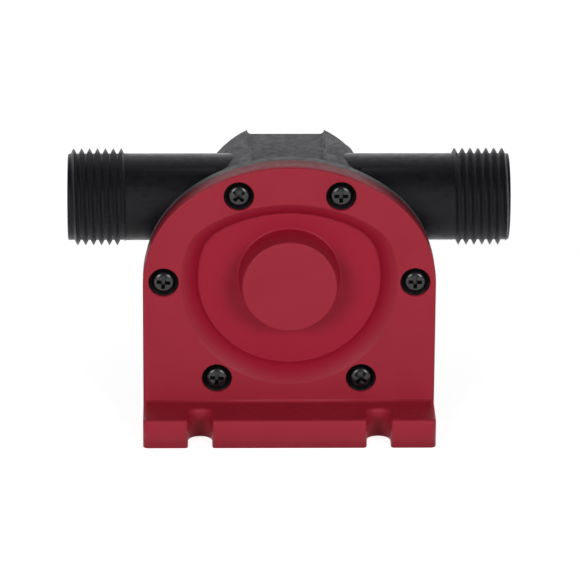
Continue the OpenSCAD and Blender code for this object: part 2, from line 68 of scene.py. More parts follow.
def make_camera():
    """The photograph's camera, turned and placed from the fitted numbers."""
    back = Vector((sin(CAMERA_AZIMUTH) * cos(CAMERA_ELEVATION),
                   -cos(CAMERA_AZIMUTH) * cos(CAMERA_ELEVATION), sin(CAMERA_ELEVATION)))
    level = Vector((0, 0, 1)).cross(back).normalized()
    upright = back.cross(level)
    right = level * cos(CAMERA_ROLL) + upright * sin(CAMERA_ROLL)
    up = back.cross(right)
    half = PICTURE_WIDTH / 2
    aside = (half - TARGET_PIXEL[0]) / PIXELS_PER_MM
    above = (TARGET_PIXEL[1] - half) / PIXELS_PER_MM
    place = Vector((0, 0, AXIS_Z)) + right * aside + up * above + back * CAMERA_DISTANCE
    camera = bpy.data.objects.new("camera", bpy.data.cameras.new("camera"))
    camera.data.sensor_width = SENSOR_WIDTH
    camera.data.lens = SENSOR_WIDTH * CAMERA_DISTANCE * PIXELS_PER_MM / PICTURE_WIDTH
    camera.data.clip_end = FARTHEST
    turned = Matrix((right, up, back)).transposed().to_4x4()
    camera.matrix_world = Matrix.Translation(place * MM) @ turned
    bpy.context.scene.collection.objects.link(camera)
    bpy.context.scene.camera = camera
    return camera


camera = make_camera()
print("camera lens in mm:", round(camera.data.lens, 1))

# %% [markdown]
# ## Shells from rings
# A moulding is mostly flat faces, straight walls and rounded edges. Bevel could round a
# block, but a cover with a dish, a boss and six counterbores is easier to control as a
# stack of rings: each ring is a closed loop of points, two rings are bridged by a wall,
# and a flat face is filled between an outer ring and the rings of its holes.
# Flat faces are shaded flat and walls smooth, so edges roll over without shadows.

# %% Rings, walls and fills
FINE_RING = 96
SAME_POINT = 1e-5


def circle(x, z, r, y, count=48):
    """A ring of points about an axis along Y."""
    return [(x + r * cos(tau * k / count), y, z + r * sin(tau * k / count))
            for k in range(count)]


def inset(loop, amount):
    """A flat loop, given counter-clockwise, moved inwards by an amount."""
    moved = []
    for k, (x, y) in enumerate(loop):
        before, after = Vector(loop[k - 1]), Vector(loop[(k + 1) % len(loop)])
        here = Vector((x, y))
        one, two = (here - before).normalized(), (after - here).normalized()
        side = Vector((-one.y - two.y, one.x + two.x)) / (1 + one.dot(two))
        moved.append(tuple(here + side * amount))
    return moved


class Shell:
    """A shell that grows ring by ring, in millimetres."""

    def __init__(self):
        self.bm = bmesh.new()

    def ring(self, points):
        return [self.bm.verts.new(Vector(p) * MM) for p in points]

    def wall(self, one, two):
        for k in range(len(one)):
            j = (k + 1) % len(one)
            self.bm.faces.new((one[k], one[j], two[j], two[k])).smooth = True

    def stack(self, rings):
        made = [self.ring(points) for points in rings]
        for one, two in zip(made, made[1:]):
            self.wall(one, two)
        return made

    def fill(self, outer, holes=(), axes=(0, 2)):
        """A flat face between an outer ring and its holes, cut into triangles."""
        loops = [outer, *holes]
        verts = [v for loop in loops for v in loop]
        flat = [Vector((v.co[axes[0]], v.co[axes[1]])) / MM for v in verts]
        edges, start = [], 0
        for loop in loops:
            edges += [(start + k, start + (k + 1) % len(loop)) for k in range(len(loop))]
            start += len(loop)
        points, _, faces, origin, _, _ = delaunay_2d_cdt(flat, edges, [], 0, SAME_POINT)
        for face in faces:
            middle = sum((points[k] for k in face), Vector((0, 0))) / len(face)
            crossings = 0
            for a, b in edges:
                p, q = flat[a], flat[b]
                if (p.y > middle.y) != (q.y > middle.y):
                    if middle.x < p.x + (middle.y - p.y) * (q.x - p.x) / (q.y - p.y):
                        crossings += 1
            if crossings % 2:
                self.bm.faces.new([verts[origin[k][0]] for k in face])

    def mesh(self, name):
        bmesh.ops.recalc_face_normals(self.bm, faces=self.bm.faces)
        mesh = bpy.data.meshes.new(name)
        self.bm.to_mesh(mesh)
        self.bm.free()
        return mesh


# %% [markdown]
# ## What every piece goes through
# A shell becomes an object, joins its neighbours or is cut by them, and is shaded and
# coated. A modifier's result is always made plain mesh at once, so that what is measured
# is what is seen. Counting open edges shows whether a shell has a leak.

# %% Helpers for whole pieces
WELD = 0.002


def welded(name):
    """An editable copy of a CAD node's mesh, its loose triangles merged."""
    bm = bmesh.new()
    bm.from_mesh(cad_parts[name].data)
    bmesh.ops.remove_doubles(bm, verts=bm.verts, dist=WELD * MM)
    return bm


def add_object(name, mesh):
    piece = bpy.data.objects.new(name, mesh)
    bpy.context.scene.collection.objects.link(piece)
    return piece


def applied(piece):
    """The piece with its modifiers made part of its mesh."""
    view = bpy.context.evaluated_depsgraph_get()
    mesh = bpy.data.meshes.new_from_object(piece.evaluated_get(view))
    piece.modifiers.clear()
    piece.data = mesh
    return piece


def joined(piece, others):
    """One piece made of several, which are taken out of the scene."""
    bm = bmesh.new()
    for part in [piece, *others]:
        bm.from_mesh(part.data)
    bm.to_mesh(piece.data)
    bm.free()
    for part in others:
        bpy.data.objects.remove(part)
    return piece


def coated(piece, material):
    """The piece with one finish all over."""
    piece.data.materials.clear()
    piece.data.materials.append(material)
    return piece


def smoothed(mesh, angle):
    """Shades a mesh smooth, but for edges sharper than an angle in degrees."""
    mesh.shade_smooth()
    mesh.set_sharp_from_angle(angle=radians(angle))


def combined(piece, others, operation):
    """The piece with other closed shells added to it or cut out of it."""
    for other in others:
        change = piece.modifiers.new("combined", "BOOLEAN")
        change.operation, change.solver, change.object = operation, "EXACT", other
    applied(piece)
    for other in others:
        bpy.data.objects.remove(other)
    return piece


def open_edges(mesh):
    """How many edges don't join exactly two faces, which is none on a closed shell."""
    bm = bmesh.new()
    bm.from_mesh(mesh)
    count = sum(1 for edge in bm.edges if len(edge.link_faces) != 2)
    bm.free()
    return count


# %% [markdown]
# ## The finishes
# Moulded plastic is never one even colour: the mould leaves a fine grain that scatters
# the light, and the pigment drifts a little over a hand's width. One helper makes such a
# finish from three noises on Object coordinates: a fine one for the grain's bump, a broad
# one for the colour, and one for the gloss. Metals and rubber use it with other numbers.

# %% A helper for finishes
NOISE_LOW, NOISE_HIGH = 0.3, 0.7
DRIFT_DETAIL, GLOSS_DETAIL, GRAIN_DETAIL = 3.0, 2.0, 3.0
GLOSS_SCALE = 9
SHEEN_ROUGH = 0.32
SHEEN_TINT = (0.93, 0.92, 1.0)
COLOUR_ONE, COLOUR_TWO, MIXED = 6, 7, 2


def node(tree, kind, **values):
    made = tree.nodes.new(kind)
    for key, value in values.items():
        setattr(made, key, value)
    return made


def noise(tree, coordinates, scale, detail, stretch=(1, 1, 1)):
    """A noise of a given scale in cycles per metre, stretched along the axes."""
    spread = node(tree, "ShaderNodeMapping")
    spread.inputs["Scale"].default_value = stretch
    tree.links.new(coordinates, spread.inputs["Vector"])
    texture = node(tree, "ShaderNodeTexNoise")
    texture.inputs["Scale"].default_value = scale
    texture.inputs["Detail"].default_value = detail
    tree.links.new(spread.outputs["Vector"], texture.inputs["Vector"])
    return texture.outputs["Fac"]


def mapped(tree, value, low, high, first=0.0, last=1.0):
    """Maps low to first and high to last, and what lies between them evenly."""
    change = node(tree, "ShaderNodeMapRange")
    for name, number in (("From Min", low), ("From Max", high),
                         ("To Min", first), ("To Max", last)):
        change.inputs[name].default_value = number
    tree.links.new(value, change.inputs["Value"])
    return change.outputs["Result"]


def finish(name, dark, light, rough, grain, grain_depth, *, metallic=0.0, specular=0.5,
           broad=60.0, stretch=(1, 1, 1), sheen=0.0, spread=0.05):
    """A finish from two close colours, a roughness, and a grain of a size and depth in mm."""
    material = bpy.data.materials.new(name)
    material.use_nodes = True
    tree = material.node_tree
    shader = tree.nodes["Principled BSDF"]
    shader.inputs["Metallic"].default_value = metallic
    shader.inputs["Specular IOR Level"].default_value = specular
    shader.inputs["Sheen Weight"].default_value = sheen
    shader.inputs["Sheen Roughness"].default_value = SHEEN_ROUGH
    shader.inputs["Sheen Tint"].default_value = (*SHEEN_TINT, 1)
    where = node(tree, "ShaderNodeTexCoord").outputs["Object"]
    colour = node(tree, "ShaderNodeMix", data_type="RGBA")
    colour.inputs[COLOUR_ONE].default_value = (*dark, 1)
    colour.inputs[COLOUR_TWO].default_value = (*light, 1)
    drift = noise(tree, where, broad, DRIFT_DETAIL)
    tree.links.new(mapped(tree, drift, NOISE_LOW, NOISE_HIGH), colour.inputs["Factor"])
    tree.links.new(colour.outputs[MIXED], shader.inputs["Base Color"])
    gloss = noise(tree, where, broad * GLOSS_SCALE, GLOSS_DETAIL, stretch)
    dull = mapped(tree, gloss, NOISE_LOW, NOISE_HIGH, rough - spread, rough + spread)
    tree.links.new(dull, shader.inputs["Roughness"])
    bump = node(tree, "ShaderNodeBump")
    bump.inputs["Distance"].default_value = grain_depth * MM
    fine = noise(tree, where, 1 / (grain * MM), GRAIN_DETAIL, stretch)
    tree.links.new(fine, bump.inputs["Height"])
    tree.links.new(bump.outputs["Normal"], shader.inputs["Normal"])
    return material


# %% The finishes of this pump
cover_plastic = finish("cover_plastic", (0.326, 0.014, 0.032), (0.354, 0.017, 0.037), 0.5,
                       0.35, 0.012, specular=0.25)
body_plastic = finish("body_plastic", (0.0034, 0.0036, 0.0052), (0.0056, 0.0060, 0.0080),
                      0.44, 0.7, 0.03, specular=0.2, sheen=0.6, spread=0.1)
soft_rubber = finish("soft_rubber", (0.009, 0.009, 0.01), (0.014, 0.014, 0.015), 0.62,
                     0.25, 0.01, specular=0.3)
screw_steel = finish("screw_steel", (0.005, 0.005, 0.006), (0.009, 0.009, 0.010), 0.24,
                     0.15, 0.004, specular=0.6)
ground_steel = finish("ground_steel", (0.46, 0.47, 0.49), (0.56, 0.57, 0.59), 0.24,
                      0.12, 0.0012, metallic=1.0, stretch=(0.15, 6, 0.15))
bearing_steel = finish("bearing_steel", (0.52, 0.53, 0.55), (0.6, 0.61, 0.63), 0.16,
                       0.2, 0.002, metallic=1.0, stretch=(0.15, 4, 0.15))
spring_steel = finish("spring_steel", (0.035, 0.037, 0.040), (0.065, 0.067, 0.072), 0.4,
                      0.2, 0.008, metallic=0.8)
bush_bronze = finish("bush_bronze", (0.33, 0.19, 0.085), (0.47, 0.30, 0.15), 0.42,
                     0.2, 0.02, metallic=1.0, broad=1500.0, spread=0.1)
natural_nylon = finish("natural_nylon", (0.56, 0.54, 0.48), (0.64, 0.62, 0.56), 0.5,
                       0.5, 0.01)
print("finishes:", len(bpy.data.materials))

# %% [markdown]
# ## The front cover's outline
# The cover is an arch on two round shoulders and straight sides. Seen from the front it is
# three arcs that meet smoothly, so each arc ends where the line through two centres
# crosses it. The loop runs counter-clockwise, seen from the front.

# %% The cover's outline
COVER_HALF = 40.55
COVER_THICK = 6.5
ARCH_R = 46.4
ARCH_DROP = 12.8
SHOULDER_R = 31.0
PLATE_LOW = 1.0
FACE_EDGE, FACE_EDGE_STEPS = 0.45, 4
SHOULDER_STEPS, ARCH_STEPS = 36, 72


def arc(x, z, r, first, last, count):
    """Points of an arc between two angles in degrees, without its last point."""
    angles = [radians(first + (last - first) * k / count) for k in range(count)]
    return [(x + r * cos(a), z + r * sin(a)) for a in angles]


def cover_outline():
    """The cover's outline as X and Z."""
    shoulder_x = COVER_HALF - SHOULDER_R
    rise = sqrt((ARCH_R - SHOULDER_R) ** 2 - shoulder_x ** 2)
    meet = degrees(atan2(rise, shoulder_x))
    shoulder_z = AXIS_Z + rise - ARCH_DROP
    loop = arc(shoulder_x, shoulder_z, SHOULDER_R, 0, meet, SHOULDER_STEPS)
    loop += arc(0, AXIS_Z - ARCH_DROP, ARCH_R, meet, 180 - meet, ARCH_STEPS)
    loop += arc(-shoulder_x, shoulder_z, SHOULDER_R, 180 - meet, 180, SHOULDER_STEPS)
    loop += [(-COVER_HALF, shoulder_z), (-COVER_HALF, PLATE_LOW), (COVER_HALF, PLATE_LOW)]
    return loop


outline = cover_outline()
print("outline points:", len(outline), "top in mm:", round(max(z for _, z in outline), 2))

# %% [markdown]
# ## The dish, the boss and the counterbores
# The sunk dish is a circle with a flatter top, like the cam of the pump behind it. Two
# circles crossed would leave sharp corners, so a smooth minimum of their radii blends them.
# The slope of the dish grows steeper from its rim to its foot: a straight slope and a
# quarter of an ellipse, added in shares, give that.
# The boss is drafted, as any moulding is, so that it leaves the mould.

# %% The dish's loops and profile
DISH_R, DISH_CAM_R, CAM_DROP = 30.0, 44.45, 21.6
DISH_EDGE = 0.15
DISH_WIDE, DISH_DEEP = 4.5, 4.8
DISH_FILLET = 0.2
DISH_RIM_DEEP = 0.05
DISH_POINTS = 256
SLOPE_TURN, SLOPE_STEPS, FILLET_STEPS = 84, 24, 4
BOSS_R, BOSS_HIGH, BOSS_DRAFT = 13.1, 3.7, 0.095
BOSS_EDGE, BOSS_FILLET = 0.55, 0.6
EDGE_STEPS = 5
PILOT_R, PILOT_CAM_R, PILOT_END = 27.85, 42.45, 9.2
CORNER_BLEND = 2.4
CAM_STEP_SHARE = 0.9
STRAIGHT_SHARE = 0.6


def cam_loop(r, cam_r, y, count=DISH_POINTS):
    """The cam outline at depth y: a circle with a flatter top, its corners blended."""
    loop = []
    for k in range(count):
        a = tau * k / count
        flat = sqrt(cam_r ** 2 - (CAM_DROP * cos(a)) ** 2) - CAM_DROP * sin(a)
        near = max(CORNER_BLEND - abs(r - flat), 0) / CORNER_BLEND
        reach = min(r, flat) - near * near * CORNER_BLEND / 4
        loop.append((reach * cos(a), y, AXIS_Z + reach * sin(a)))
    return loop


def dish_profile():
    """Steps inwards and depths of the dish's slope, from the face to the floor."""
    steps = [(-DISH_EDGE, 0.0), (-DISH_EDGE / 2, DISH_RIM_DEEP / 5), (0.0, DISH_RIM_DEEP)]
    for k in range(1, SLOPE_STEPS + 1):
        a = radians(SLOPE_TURN) * k / SLOPE_STEPS
        share = sin(a)
        fall = STRAIGHT_SHARE * share + (1 - STRAIGHT_SHARE) * (1 - cos(a))
        steps.append((share * DISH_WIDE, DISH_RIM_DEEP + (DISH_DEEP - DISH_FILLET) * fall))
    (inwards, deep), reach = steps[-1], DISH_WIDE + DISH_FILLET
    for k in range(1, FILLET_STEPS + 1):
        t = k / FILLET_STEPS
        left, bend = (1 - t) ** 2, 2 * t * (1 - t)
        steps.append((inwards * left + bend * (DISH_WIDE + DISH_RIM_DEEP) + t * t * reach,
                      deep * left + bend * DISH_DEEP + t * t * DISH_DEEP))
    return steps


def boss_profile():
    """Radii and depths of the boss, from the dish's floor to its front face."""
    base = BOSS_R + BOSS_DRAFT * (BOSS_HIGH + DISH_DEEP)
    steps = [(base + BOSS_FILLET * (1 - sin(a)), DISH_DEEP - BOSS_FILLET * (1 - cos(a)))
             for a in (0, radians(30), radians(60), radians(90))]
    rim = BOSS_R + BOSS_DRAFT * BOSS_EDGE
    for k in range(EDGE_STEPS + 1):
        a = radians(90) * k / EDGE_STEPS
        steps.append((rim - BOSS_EDGE * (1 - cos(a)), -BOSS_HIGH + BOSS_EDGE * (1 - sin(a))))
    return steps


# %% The cover's plate
# Each screw has its X, its height above the shaft and the degrees it stopped at.
SCREWS = [((34.8, 0.0), 2), ((-34.8, 0.0), 6), ((14.05, 25.25), 0), ((-14.05, 25.25), 48),
          ((20.05, -28.5), 38), ((-20.05, -28.5), 5)]
BORE_R, BORE_DEEP, BORE_EDGE, SCREW_HOLE_R = 4.18, 2.6, 0.1, 1.9
EDGE_MIDDLE = 0.3
# Radii and depths behind the boss: a ring-shaped hollow, then the seat of the shaft's bush.
BOSS_BACK = [(10.6, 9.2), (10.6, -1.2), (8.2, -1.2), (8.2, 9.2), (6.0, 9.2), (6.0, 0.8),
             (4.2, 0.8), (4.2, -1.1)]


def cover_plate():
    """The arched plate with its dish, boss, counterbores and pilot, as one closed shell."""
    shell = Shell()
    rounded = []
    for k in range(FACE_EDGE_STEPS + 1):
        a = radians(90) * k / FACE_EDGE_STEPS
        loop = inset(outline, FACE_EDGE * (1 - cos(a)))
        rounded.append([(x, FACE_EDGE * (1 - sin(a)), z) for x, z in loop])
    back, *_, front = shell.stack([[(x, COVER_THICK, z) for x, z in outline], *rounded])
    slope = shell.stack([cam_loop(DISH_R - step, DISH_CAM_R - step * CAM_STEP_SHARE, depth)
                         for step, depth in dish_profile()])
    boss = shell.stack([circle(0, AXIS_Z, r, y, FINE_RING) for r, y in boss_profile()])
    shell.fill(slope[-1], [boss[0]])
    shell.fill(boss[-1])
    mouths, ends = [], []
    for (x, z), _ in SCREWS:
        middle = BORE_EDGE * EDGE_MIDDLE
        steps = [(BORE_R + BORE_EDGE, 0), (BORE_R + middle, middle), (BORE_R, BORE_EDGE),
                 (BORE_R, BORE_DEEP), (SCREW_HOLE_R, BORE_DEEP), (SCREW_HOLE_R, COVER_THICK)]
        bore = shell.stack([circle(x, AXIS_Z + z, r, y) for r, y in steps])
        mouths.append(bore[0])
        ends.append(bore[-1])
    shell.fill(front, [slope[0], *mouths])
    pilot = shell.stack([cam_loop(PILOT_R, PILOT_CAM_R, COVER_THICK),
                         cam_loop(PILOT_R, PILOT_CAM_R, PILOT_END)])
    shell.fill(back, [pilot[0], *ends])
    core = shell.stack([circle(0, AXIS_Z, r, y, FINE_RING) for r, y in BOSS_BACK])
    shell.fill(pilot[1], [core[0]])
    shell.fill(core[-1])
    return shell.mesh("front_cover_plate")


plate = add_object("front_cover_moulding", cover_plate())
print("plate open edges:", open_edges(plate.data), "faces:", len(plate.data.polygons))

# %% [markdown]
# ## The foot
# The foot is a low block with two slots open to the front, so that the pump can be bolted
# to a board and slid off again. All its upper edges are rounded by the mould. Its outline
# from above is one loop that runs in and out of both slots. A small cove fills the corner
# between the foot and the plate, and a Boolean makes the three shells one moulding.

# %% The foot and its cove
FOOT_REACH, FOOT_HIGH, FOOT_EDGE, FOOT_CORNER = 13.7, 8.2, 0.85, 1.5
SLOT_X, SLOT_R, SLOT_DEEP, SLOT_CORNER = 24.75, 3.35, 8.7, 1.0
CORNER_STEPS, SLOT_STEPS = 6, 24
COVE_R, COVE_SUNK, COVE_STEPS = 0.9, 0.4, 6


def foot_outline():
    """The foot from above, counter-clockwise, as X and Y."""
    front, corner = -FOOT_REACH, COVER_HALF - FOOT_CORNER
    loop = arc(-corner, front + FOOT_CORNER, FOOT_CORNER, 180, 270, CORNER_STEPS)
    loop += [(-corner, front)]
    turn, end = front + SLOT_CORNER, front + SLOT_DEEP - SLOT_R
    for x in (-SLOT_X, SLOT_X):
        left, right = x - SLOT_R, x + SLOT_R
        loop += arc(left - SLOT_CORNER, turn, SLOT_CORNER, 270, 360, CORNER_STEPS)
        loop += [(left, turn)]
        loop += arc(x, end, SLOT_R, 180, 0, SLOT_STEPS)
        loop += [(right, end)]
        loop += arc(right + SLOT_CORNER, turn, SLOT_CORNER, 180, 270, CORNER_STEPS)
        loop += [(right + SLOT_CORNER, front)]
    loop += arc(corner, front + FOOT_CORNER, FOOT_CORNER, 270, 360, CORNER_STEPS)
    loop += [(COVER_HALF, front + FOOT_CORNER), (COVER_HALF, COVER_THICK)]
    loop += [(-COVER_HALF, COVER_THICK)]
    return loop


def foot_block():
    shell = Shell()
    around = foot_outline()
    rings = [[(x, y, 0) for x, y in around]]
    for k in range(EDGE_STEPS + 1):
        a = radians(90) * k / EDGE_STEPS
        loop = inset(around, FOOT_EDGE * (1 - cos(a)))
        rings.append([(x, y, FOOT_HIGH - FOOT_EDGE * (1 - sin(a))) for x, y in loop])
    made = shell.stack(rings)
    shell.fill(made[0], axes=(0, 1))
    shell.fill(made[-1], axes=(0, 1))
    return shell.mesh("foot_block")


def foot_cove():
    """The small hollow fillet between the foot's top and the face."""
    shell = Shell()
    half = COVER_HALF - FOOT_EDGE
    profile = [(COVE_SUNK, FOOT_HIGH - COVE_SUNK), (COVE_SUNK, FOOT_HIGH + COVE_R)]
    for k in range(COVE_STEPS + 1):
        a = radians(180 - 90 * k / COVE_STEPS)
        profile.append((-COVE_R - COVE_R * cos(a), FOOT_HIGH + COVE_R - COVE_R * sin(a)))
    profile.append((-COVE_R, FOOT_HIGH - COVE_SUNK))
    ends = shell.stack([[(x, y, z) for y, z in profile] for x in (-half, half)])
    for end in ends:
        shell.fill(end, axes=(1, 2))
    return shell.mesh("foot_cove")


foot = add_object("foot", foot_block())
cove = add_object("cove", foot_cove())
print("foot open edges:", open_edges(foot.data), "cove open edges:", open_edges(cove.data))
cover = coated(combined(plate, [foot, cove], "UNION"), cover_plastic)
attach(cover, "housing")
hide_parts("front_cover")
print("cover open edges:", open_edges(cover.data), "faces:", len(cover.data.polygons))

# %% [markdown]
# ## The pump body
# The body's main shape comes from the CAD model, but its edges are knife sharp and its hose
# threads are plain rings. A copy of its mesh has its loose triangles welded and its flat
# faces made whole, and the ringed ends are cut off. A narrow bevel rounds the edges once
# the next cell has added its shells.

# %% The body without its threads
PORT_Y, PORT_Z, PORT_HALF = 22.0, AXIS_Z + 17.35, 61.4
PIPE_R, ROOT_R, CREST_R, WATER_R = 12.12, 12.05, 13.49, 8.5
THREAD_PITCH, THREAD_TURNS = 2.209, 7
THREAD_START = PORT_HALF - THREAD_PITCH * THREAD_TURNS
CUT_BEFORE, CUT_TOLERANCE, FLAT_ANGLE = 0.05, 1e-7, 0.4
EDGE_WIDTH, EDGE_SEGMENTS, EDGE_ANGLE, SHARP_ANGLE = 0.28, 2, 50, 40


def body_copy():
    """The body's mesh, welded, with both threaded ends cut off and closed."""
    bm = welded("pump_body")
    for side in (-1, 1):
        cut = Vector((side * (THREAD_START - CUT_BEFORE) * MM, 0, 0))
        parts = [*bm.verts, *bm.edges, *bm.faces]
        made = bmesh.ops.bisect_plane(bm, geom=parts, plane_co=cut, plane_no=(side, 0, 0),
                                      dist=CUT_TOLERANCE, clear_outer=True)
        rim = [part for part in made["geom_cut"] if isinstance(part, bmesh.types.BMEdge)]
        bmesh.ops.bridge_loops(bm, edges=rim)
    bmesh.ops.dissolve_limit(bm, angle_limit=radians(FLAT_ANGLE), verts=bm.verts,
                             edges=bm.edges)
    mesh = bpy.data.meshes.new("pump_body_moulding")
    bm.to_mesh(mesh)
    bm.free()
    return mesh


def rounded(piece, width, segments, angle):
    """Rounds the piece's sharp edges and evens its shading."""
    bevel = piece.modifiers.new("edges", "BEVEL")
    bevel.width = width * MM
    bevel.segments = segments
    bevel.limit_method = "ANGLE"
    bevel.angle_limit = radians(angle)
    bevel.miter_outer = "MITER_ARC"
    applied(piece)
    smoothed(piece.data, SHARP_ANGLE)
    even = piece.modifiers.new("shading", "WEIGHTED_NORMAL")
    even.keep_sharp = True
    return applied(piece)


body = add_object("pump_body_moulding", body_copy())
print("body open edges:", open_edges(body.data), "faces:", len(body.data.polygons))

# %% [markdown]
# ## Shoulders and screw towers
# On the real moulding each hose pipe runs on into the shoulder beside the upper screw, and
# each screw tower widens smoothly towards the barrel. Three small closed shells on each
# side add that. They sink into the body's own solid and keep clear of the chamber, the
# water passages and the screw holes.

# %% Shoulders and towers
SHOULDER_IN, SHOULDER_OUT, SHOULDER_LOW, SHOULDER_INSET = 23.8, 31.0, 17.0, 2.0
SHOULDER_FRONT, SHOULDER_BACK = 9.0, 13.4
ROOT_IN, ROOT_OUT, ROOT_LOW, ROOT_STEPS = 12.5, 20.2, 26.2, 40
TOWER_X, TOWER_Z, TOWER_IN_R = 14.05, 25.25, 2.4
TOWER_ENDS = ((12.0, 4.0), (28.4, 4.63))


def extruded(name, loop, places, axis):
    """A closed prism: a flat loop repeated at two places along X or Y."""
    shell = Shell()
    if axis == "x":
        rings, axes = [[(at, one, two) for one, two in loop] for at in places], (1, 2)
    else:
        rings, axes = [[(one, at, two) for one, two in loop] for at in places], (0, 2)
    for end in shell.stack(rings):
        shell.fill(end, axes=axes)
    return add_object(name, shell.mesh(name))


def shoulder_end(side):
    """The shoulder's outer end in front of a hose port, under the arch of the flange."""
    arch = [(x, z) for x, z in inset(outline, SHOULDER_INSET)
            if SHOULDER_IN < side * x < SHOULDER_OUT and z > AXIS_Z + SHOULDER_LOW]
    low = AXIS_Z + SHOULDER_LOW
    loop = [*arch, (arch[-1][0], low), (arch[0][0], low)]
    return extruded("shoulder_end", loop, (SHOULDER_FRONT, SHOULDER_BACK), "y")


def pipe_root(side):
    """The upper part of a hose pipe, where it runs on into the shoulder."""
    rise = AXIS_Z + ROOT_LOW - PORT_Z
    reach = sqrt(PIPE_R ** 2 - rise ** 2)
    first = degrees(atan2(rise, reach))
    loop = arc(PORT_Y, PORT_Z, PIPE_R, first, 180 - first, ROOT_STEPS)
    loop.append((PORT_Y - reach, PORT_Z + rise))
    return extruded("pipe_root", loop, (side * ROOT_IN, side * ROOT_OUT), "x")


def tower_flare(side):
    """The sleeve by which a screw tower widens towards the barrel."""
    shell = Shell()
    steps = [(TOWER_IN_R, TOWER_ENDS[0][0])] + [(r, y) for y, r in TOWER_ENDS]
    steps.append((TOWER_IN_R, TOWER_ENDS[1][0]))
    made = shell.stack([circle(side * TOWER_X, AXIS_Z + TOWER_Z, r, y) for r, y in steps])
    shell.wall(made[-1], made[0])
    return add_object("tower_flare", shell.mesh("tower_flare"))


extras = [make(side) for make in (shoulder_end, pipe_root, tower_flare) for side in (-1, 1)]
print("extras open edges:", [open_edges(extra.data) for extra in extras])
joined(body, extras)
rounded(body, EDGE_WIDTH, EDGE_SEGMENTS, EDGE_ANGLE)

# %% [markdown]
# ## The hose threads
# A thread is a ridge that follows a helix, which is what Geometry Nodes do best: a spiral
# curve carries a pointed profile, whose scale shrinks the ridge to almost nothing at
# both ends, as a real thread runs out. One tree serves both ports. It is turned onto each
# port, never mirrored, because a mirrored thread would be left-handed.

# %% A tree that makes a thread
def new_tree(name, inputs):
    """An empty Geometry Nodes tree with named inputs and one mesh output."""
    tree = bpy.data.node_groups.new(name, "GeometryNodeTree")
    face = tree.interface
    face.new_socket("Geometry", in_out="INPUT", socket_type="NodeSocketGeometry")
    for label, kind in inputs:
        face.new_socket(label, in_out="INPUT", socket_type=kind)
    face.new_socket("Geometry", in_out="OUTPUT", socket_type="NodeSocketGeometry")
    return tree, node(tree, "NodeGroupInput").outputs, node(tree, "NodeGroupOutput").inputs


def fed(tree, made, values):
    """The result of a node whose inputs are fed with numbers or from other sockets."""
    for socket, value in zip(made.inputs, values):
        if isinstance(value, (int, float)):
            socket.default_value = value
        else:
            tree.links.new(value, socket)
    return made.outputs[0]


def maths(tree, operation, one, two):
    """The result of one sum, from numbers or sockets."""
    return fed(tree, node(tree, "ShaderNodeMath", operation=operation), (one, two))


def vector(tree, x, y):
    return fed(tree, node(tree, "ShaderNodeCombineXYZ"), (x, y))


def finish_tree(tree, geometry, given, out):
    """Ends a tree in real geometry with its finish."""
    real = node(tree, "GeometryNodeRealizeInstances")
    coat = node(tree, "GeometryNodeSetMaterial")
    tree.links.new(geometry, real.inputs[0])
    tree.links.new(real.outputs[0], coat.inputs["Geometry"])
    tree.links.new(given["Finish"], coat.inputs["Material"])
    tree.links.new(coat.outputs[0], out[0])


SUNK_SHARE, HALF_SHARE, CREST_SHARE = -0.3, 0.47, 0.04
PORT_STEPS, SCREW_STEPS = 90, 20
RUN_OUT_RATE, RUN_OUT_LEAST = 30.0, 0.02


def thread_tree():
    tree, given, out = new_tree("thread_ridge", [
        ("Root Radius", "NodeSocketFloat"), ("Ridge Height", "NodeSocketFloat"),
        ("Pitch", "NodeSocketFloat"), ("Turns", "NodeSocketFloat"),
        ("Steps per Turn", "NodeSocketInt"), ("Finish", "NodeSocketMaterial")])
    spiral = node(tree, "GeometryNodeCurveSpiral")
    spiral.inputs["Reverse"].default_value = True
    tree.links.new(given["Steps per Turn"], spiral.inputs["Resolution"])
    tree.links.new(given["Turns"], spiral.inputs["Rotations"])
    tree.links.new(given["Root Radius"], spiral.inputs["Start Radius"])
    tree.links.new(given["Root Radius"], spiral.inputs["End Radius"])
    height = maths(tree, "MULTIPLY", given["Pitch"], given["Turns"])
    tree.links.new(height, spiral.inputs["Height"])
    upright = node(tree, "GeometryNodeSetCurveNormal", mode="Z_UP")
    tree.links.new(spiral.outputs[0], upright.inputs["Curve"])
    along = node(tree, "GeometryNodeSplineParameter").outputs["Factor"]
    ends = maths(tree, "MINIMUM", along, maths(tree, "SUBTRACT", 1.0, along))
    swell = maths(tree, "MINIMUM", 1.0, maths(tree, "MULTIPLY", ends, RUN_OUT_RATE))
    half = maths(tree, "MULTIPLY", given["Pitch"], HALF_SHARE)
    crest = maths(tree, "MULTIPLY", given["Pitch"], CREST_SHARE)
    sunk = maths(tree, "MULTIPLY", given["Ridge Height"], SUNK_SHARE)
    tip = given["Ridge Height"]
    profile = node(tree, "GeometryNodeCurvePrimitiveQuadrilateral", mode="POINTS")
    corners = [(sunk, maths(tree, "MULTIPLY", half, -1.0)), (sunk, half),
               (tip, crest), (tip, maths(tree, "MULTIPLY", crest, -1.0))]
    for k, (out_by, along_by) in enumerate(corners):
        tree.links.new(vector(tree, out_by, along_by), profile.inputs[f"Point {k + 1}"])
    sweep = node(tree, "GeometryNodeCurveToMesh")
    sweep.inputs["Fill Caps"].default_value = True
    tree.links.new(upright.outputs[0], sweep.inputs["Curve"])
    tree.links.new(profile.outputs[0], sweep.inputs["Profile Curve"])
    tree.links.new(maths(tree, "MAXIMUM", swell, RUN_OUT_LEAST), sweep.inputs["Scale"])
    finish_tree(tree, sweep.outputs[0], given, out)
    return tree


